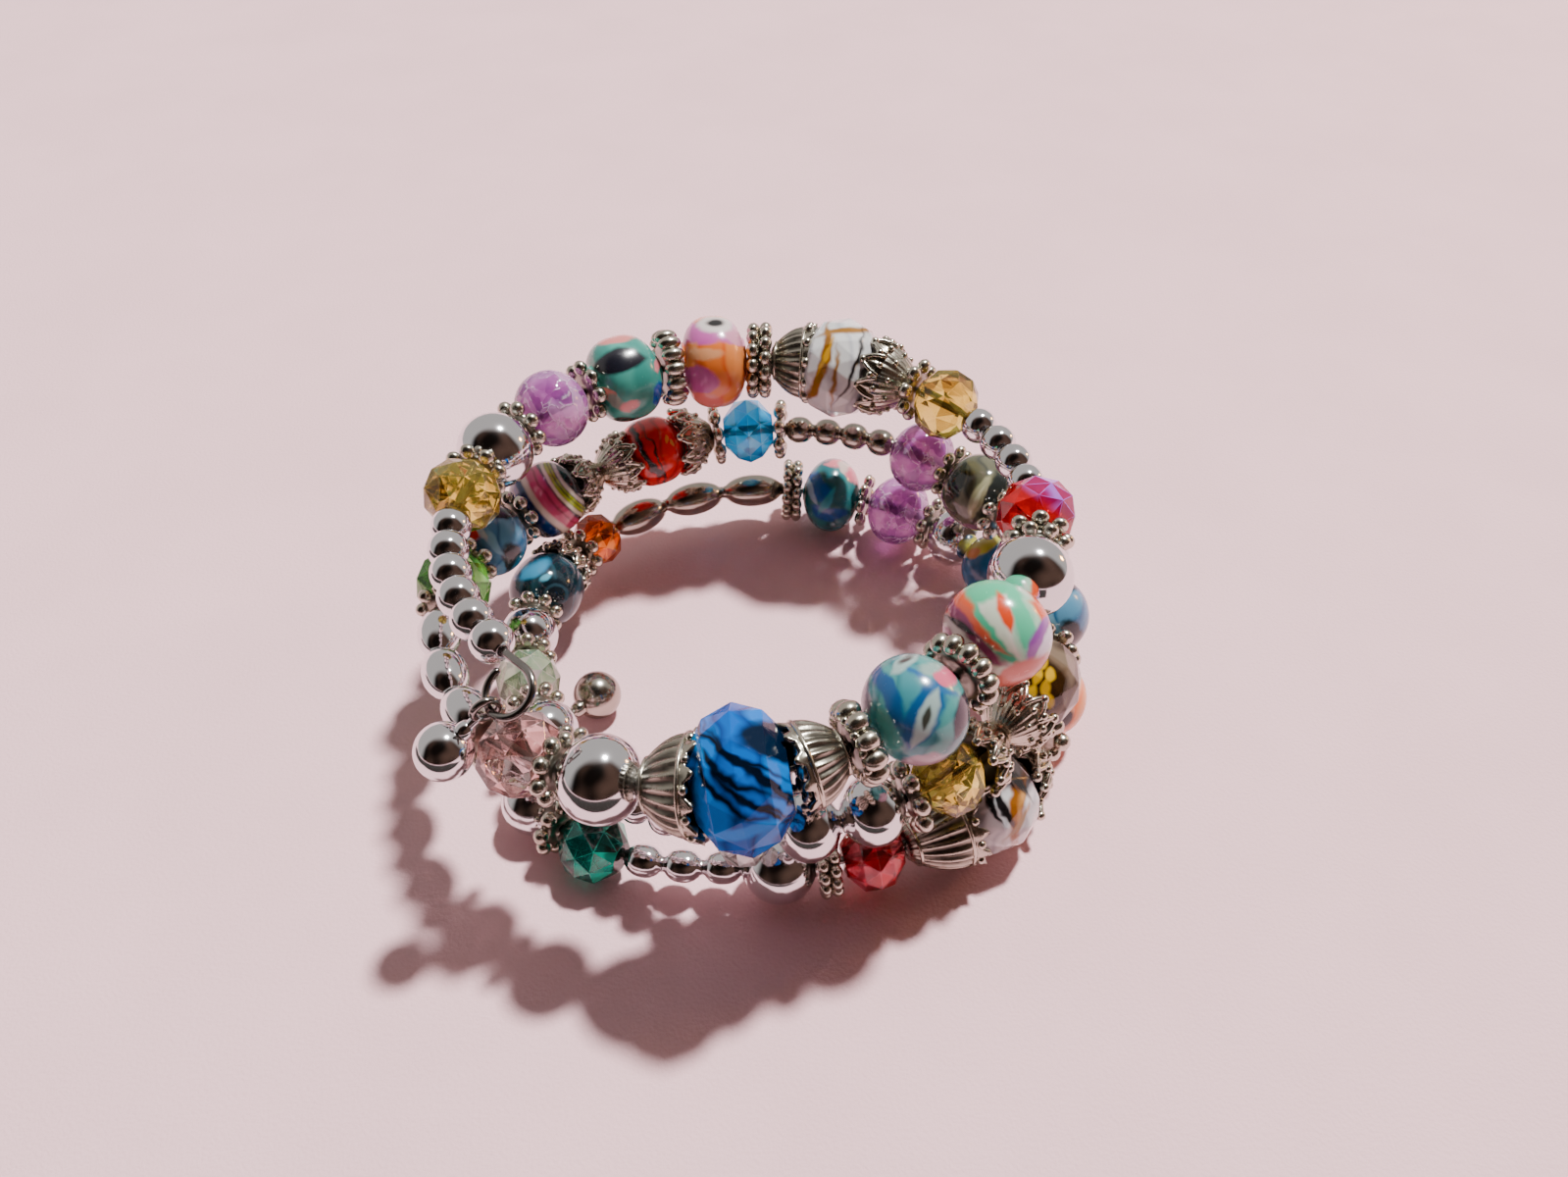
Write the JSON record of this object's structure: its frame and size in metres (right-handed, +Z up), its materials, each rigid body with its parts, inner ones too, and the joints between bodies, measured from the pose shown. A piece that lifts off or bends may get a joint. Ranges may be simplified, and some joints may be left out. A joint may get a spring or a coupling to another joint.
{
  "type": "memory wire bracelet",
  "caption": "Springy coiled wire bracelet strung with silver, glass, crystal and clay beads, with a hanging ball at each end.",
  "frame": {"origin": "middle of the bracelet's box, on the surface that its bottom turn lies on", "axes": "+Z up, along the axis of the coil; +Y towards the back of the bracelet, +X to the right, with both ends of the wire at the front left"},
  "size_m": [0.0712, 0.07, 0.0299],
  "materials": {
    "silver": "polished",
    "old_silver": "antique",
    "champagne_crystal": "faceted",
    "purple_crackle_glass": "crackled",
    "teal_clay": "swirled",
    "orange_clay": "swirled",
    "peach_clay": "swirled",
    "blue_clay": "swirled",
    "foil_glass": "clear over white",
    "red_glass": "faceted",
    "blue_glass": "faceted",
    "pink_crystal": "faceted",
    "green_crystal": "faceted",
    "striped_glass": "striped",
    "light_blue_crystal": "faceted",
    "olive_glass": "patterned",
    "brown_glass": "patterned",
    "dark_teal_glass": "patterned",
    "orange_crystal": "faceted",
    "emerald_crystal": "faceted"
  },
  "bodies": {
    "root": {"memory_wire": "silver", "ball_dangle_top": "silver", "ball_dangle_bottom": "silver", "silver_rounds_1": "silver", "silver_rounds_2": "silver", "silver_rounds_3": "silver", "silver_ball_1": "silver", "silver_ball_2": "silver", "cone_cap_and_silver_ball_3": "silver", "silver_ball_4_and_clay_bead": "silver", "silver_balls_5": "silver", "silver_balls_6_and_crystal": "silver", "silver_ball_7_and_clay_bead": "silver", "silver_ball_8_and_rounds": "silver", "silver_ball_9": "silver", "silver_ovals_1": "silver", "silver_ovals_2": "silver", "smoke_crystals_and_rounds": "silver", "daisy_spacer_1": "old_silver", "daisy_spacer_2": "old_silver", "daisy_spacer_3": "old_silver", "daisy_spacer_4": "old_silver", "beaded_ring_1": "old_silver", "beaded_ring_2": "old_silver", "ring_and_bead_cap": "old_silver", "ring_bell_cap_and_daisy": "old_silver", "petal_cap_and_daisy_1": "old_silver", "petal_cap_and_daisy_2": "old_silver", "petal_caps": "old_silver", "scalloped_cap_and_daisy": "old_silver", "flower_caps": "old_silver", "cone_cap_2": "old_silver", "champagne_crystal_1": "champagne_crystal", "champagne_crystal_2": "champagne_crystal", "champagne_crystal_3": "champagne_crystal", "purple_crackle_bead_1": "purple_crackle_glass", "purple_crackle_bead_2": "purple_crackle_glass", "purple_crackle_bead_3": "purple_crackle_glass", "teal_clay_bead_1": "teal_clay", "teal_clay_bead_2": "teal_clay", "teal_clay_bead_3": "teal_clay", "orange_clay_barrel": "orange_clay", "peach_clay_bead": "peach_clay", "blue_clay_bead_1": "blue_clay", "clay_beads_and_long_cap": "blue_clay", "foil_glass_bead_1": "foil_glass", "foil_glass_bead_2": "foil_glass", "red_flash_crystal": "red_glass", "red_glass_bead": "red_glass", "red_crystal": "red_glass", "blue_glass_bead": "blue_glass", "pink_crystal": "pink_crystal", "green_crystal_and_daisies": "green_crystal", "striped_bead": "striped_glass", "light_blue_crystal": "light_blue_crystal", "olive_glass_bead": "olive_glass", "brown_glass_bead": "brown_glass", "dark_teal_glass_bead": "dark_teal_glass", "orange_crystal": "orange_crystal", "emerald_crystal": "emerald_crystal"}
  },
  "joints": []
}
